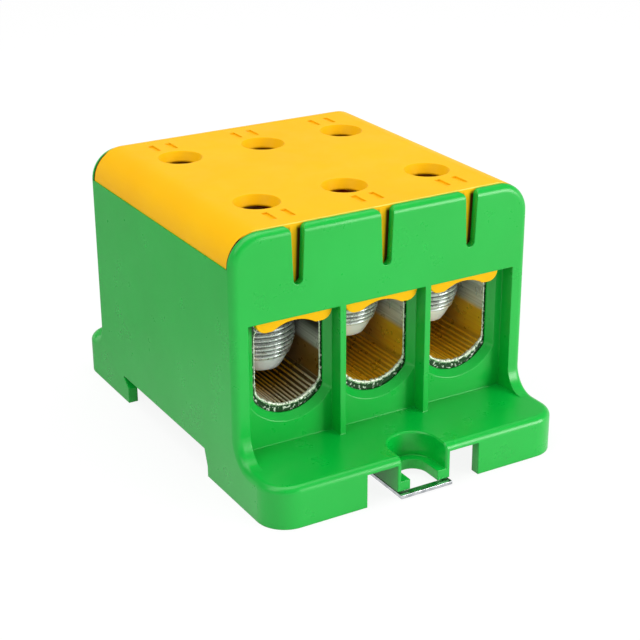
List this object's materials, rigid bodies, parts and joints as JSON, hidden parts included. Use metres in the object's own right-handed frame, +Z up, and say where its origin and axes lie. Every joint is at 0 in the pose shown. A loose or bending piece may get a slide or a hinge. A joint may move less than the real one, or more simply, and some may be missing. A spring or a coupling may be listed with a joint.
{
  "type": "feed-through terminal block",
  "caption": "Feed-through terminal block: hollow green base with rail channel, screw cups and a sliding latch, yellow lid with key holes, clamp screws over round-footed bores.",
  "frame": {"origin": "on the plane of the feet, under the centre of the overall box", "axes": "+X along the row of poles, -Y towards the front with the rail latch, +Z up"},
  "size_m": [0.067, 0.0912, 0.054],
  "materials": {
    "housing_green": "satin moulded",
    "cover_yellow": "satin moulded",
    "plated_metal": "tin plated",
    "screw_steel": "zinc plated",
    "latch_steel": "zinc plated"
  },
  "bodies": {
    "block": {"housing": "housing_green", "cover": "cover_yellow", "terminal_left": "plated_metal", "terminal_centre": "plated_metal", "terminal_right": "plated_metal", "latch_spring": "latch_steel"},
    "latch": {"rail_latch": "latch_steel"},
    "clamp_screw_left_front": {"clamp_screw_left_front": "screw_steel"},
    "clamp_screw_centre_front": {"clamp_screw_centre_front": "screw_steel"},
    "clamp_screw_right_front": {"clamp_screw_right_front": "screw_steel"},
    "clamp_screw_left_rear": {"clamp_screw_left_rear": "screw_steel"},
    "clamp_screw_centre_rear": {"clamp_screw_centre_rear": "screw_steel"},
    "clamp_screw_right_rear": {"clamp_screw_right_rear": "screw_steel"}
  },
  "joints": [
    {"name": "latch_slide", "type": "slide", "parent": "block", "child": "latch", "axis": [0, -1, 0], "range_m": [0, 0.003], "stiffness_N_per_m": 400, "springref_m": -0.002, "deforming": ["latch_spring"]},
    {"name": "clamp_screw_left_front_travel", "type": "slide", "parent": "block", "child": "clamp_screw_left_front", "axis": [0, 0, 1], "range_m": [-0.0022, 0.0128]},
    {"name": "clamp_screw_centre_front_travel", "type": "slide", "parent": "block", "child": "clamp_screw_centre_front", "axis": [0, 0, 1], "range_m": [-0.0053, 0.0097]},
    {"name": "clamp_screw_right_front_travel", "type": "slide", "parent": "block", "child": "clamp_screw_right_front", "axis": [0, 0, 1], "range_m": [-0.0041, 0.0109]},
    {"name": "clamp_screw_left_rear_travel", "type": "slide", "parent": "block", "child": "clamp_screw_left_rear", "axis": [0, 0, 1], "range_m": [-0.0066, 0.0084]},
    {"name": "clamp_screw_centre_rear_travel", "type": "slide", "parent": "block", "child": "clamp_screw_centre_rear", "axis": [0, 0, 1], "range_m": [-0.0086, 0.0064]},
    {"name": "clamp_screw_right_rear_travel", "type": "slide", "parent": "block", "child": "clamp_screw_right_rear", "axis": [0, 0, 1], "range_m": [-0.0076, 0.0074]}
  ]
}
